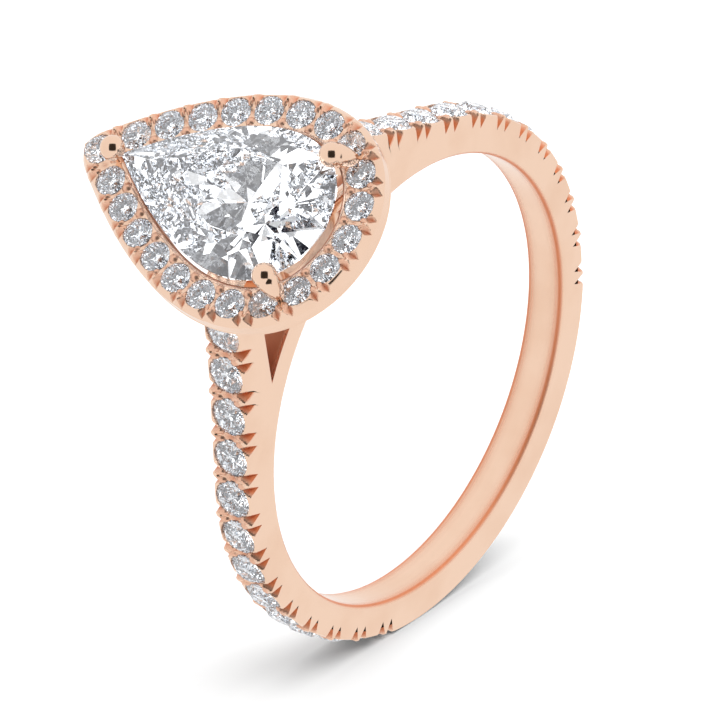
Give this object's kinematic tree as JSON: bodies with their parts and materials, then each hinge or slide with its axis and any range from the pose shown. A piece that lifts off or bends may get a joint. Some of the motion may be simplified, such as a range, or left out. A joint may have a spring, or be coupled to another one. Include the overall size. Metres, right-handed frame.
{
  "type": "engagement ring",
  "caption": "Ring with a pear-shaped centre stone in a stone-set halo on claws, over a cathedral shank with stone-set shoulders.",
  "frame": {"origin": "centre of the finger hole, half way across the band", "axes": "+Y along the finger's axis, towards the pear's tip; +Z out of the finger hole through the head"},
  "size_m": [0.0198, 0.0123, 0.0245],
  "materials": {
    "rose_gold": "polished",
    "centre_diamond": "clear faceted",
    "small_diamond": "clear faceted"
  },
  "bodies": {
    "root": {"shank": "rose_gold", "halo_frame": "rose_gold", "basket_ring": "rose_gold", "basket_bridge": "rose_gold", "claw_tip": "rose_gold", "claw_left": "rose_gold", "claw_right": "rose_gold", "centre_stone": "centre_diamond", "halo_stone_01": "small_diamond", "halo_stone_02": "small_diamond", "halo_stone_03": "small_diamond", "halo_stone_04": "small_diamond", "halo_stone_05": "small_diamond", "halo_stone_06": "small_diamond", "halo_stone_07": "small_diamond", "halo_stone_08": "small_diamond", "halo_stone_09": "small_diamond", "halo_stone_10": "small_diamond", "halo_stone_11": "small_diamond", "halo_stone_12": "small_diamond", "halo_stone_13": "small_diamond", "halo_stone_14": "small_diamond", "halo_stone_15": "small_diamond", "halo_stone_16": "small_diamond", "halo_stone_17": "small_diamond", "halo_stone_18": "small_diamond", "halo_stone_19": "small_diamond", "halo_stone_20": "small_diamond", "halo_stone_21": "small_diamond", "halo_stone_22": "small_diamond", "shoulder_stone_left_01": "small_diamond", "shoulder_stone_left_02": "small_diamond", "shoulder_stone_left_03": "small_diamond", "shoulder_stone_left_04": "small_diamond", "shoulder_stone_left_05": "small_diamond", "shoulder_stone_left_06": "small_diamond", "shoulder_stone_left_07": "small_diamond", "shoulder_stone_left_08": "small_diamond", "shoulder_stone_left_09": "small_diamond", "shoulder_stone_left_10": "small_diamond", "shoulder_stone_left_11": "small_diamond", "shoulder_stone_left_12": "small_diamond", "shoulder_stone_right_01": "small_diamond", "shoulder_stone_right_02": "small_diamond", "shoulder_stone_right_03": "small_diamond", "shoulder_stone_right_04": "small_diamond", "shoulder_stone_right_05": "small_diamond", "shoulder_stone_right_06": "small_diamond", "shoulder_stone_right_07": "small_diamond", "shoulder_stone_right_08": "small_diamond", "shoulder_stone_right_09": "small_diamond", "shoulder_stone_right_10": "small_diamond", "shoulder_stone_right_11": "small_diamond", "shoulder_stone_right_12": "small_diamond"}
  },
  "joints": []
}
